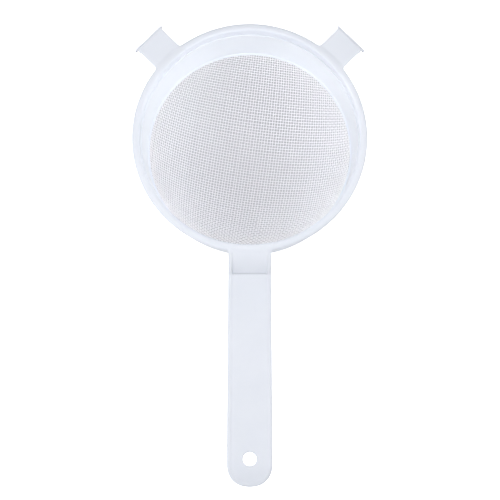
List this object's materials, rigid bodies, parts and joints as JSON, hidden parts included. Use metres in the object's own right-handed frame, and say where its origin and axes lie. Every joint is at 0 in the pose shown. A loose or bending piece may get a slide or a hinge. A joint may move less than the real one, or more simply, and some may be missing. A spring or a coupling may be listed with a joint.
{
  "type": "double sieve strainer",
  "caption": "Hand strainer for honey: round white plastic hoop with hook ears, flat handle with hanging hole, and domed coarse and fine woven cloths clamped by rings.",
  "frame": {"origin": "centre of the hoop in the plane of the ears' undersides, on the mouth's axis", "axes": "+Z along the mouth's axis, out of the open top; the handle runs to -Y; the hook ears are at 45 degrees either side of +Y"},
  "size_m": [0.16, 0.3145, 0.0958],
  "materials": {
    "frame_plastic": "satin moulded polypropylene, white with a cool tint",
    "ring_plastic": "satin moulded polypropylene, white with a cool tint",
    "coarse_nylon": "woven nylon monofilament, off-white, slightly translucent",
    "fine_nylon": "fine woven nylon cloth, off-white, slightly translucent"
  },
  "bodies": {
    "root": {"frame": "frame_plastic", "press_ring": "ring_plastic", "coarse_warp": "coarse_nylon", "coarse_weft": "coarse_nylon", "coarse_brim": "coarse_nylon", "spacer_ring": "ring_plastic", "fine_cloth": "fine_nylon"}
  },
  "joints": []
}
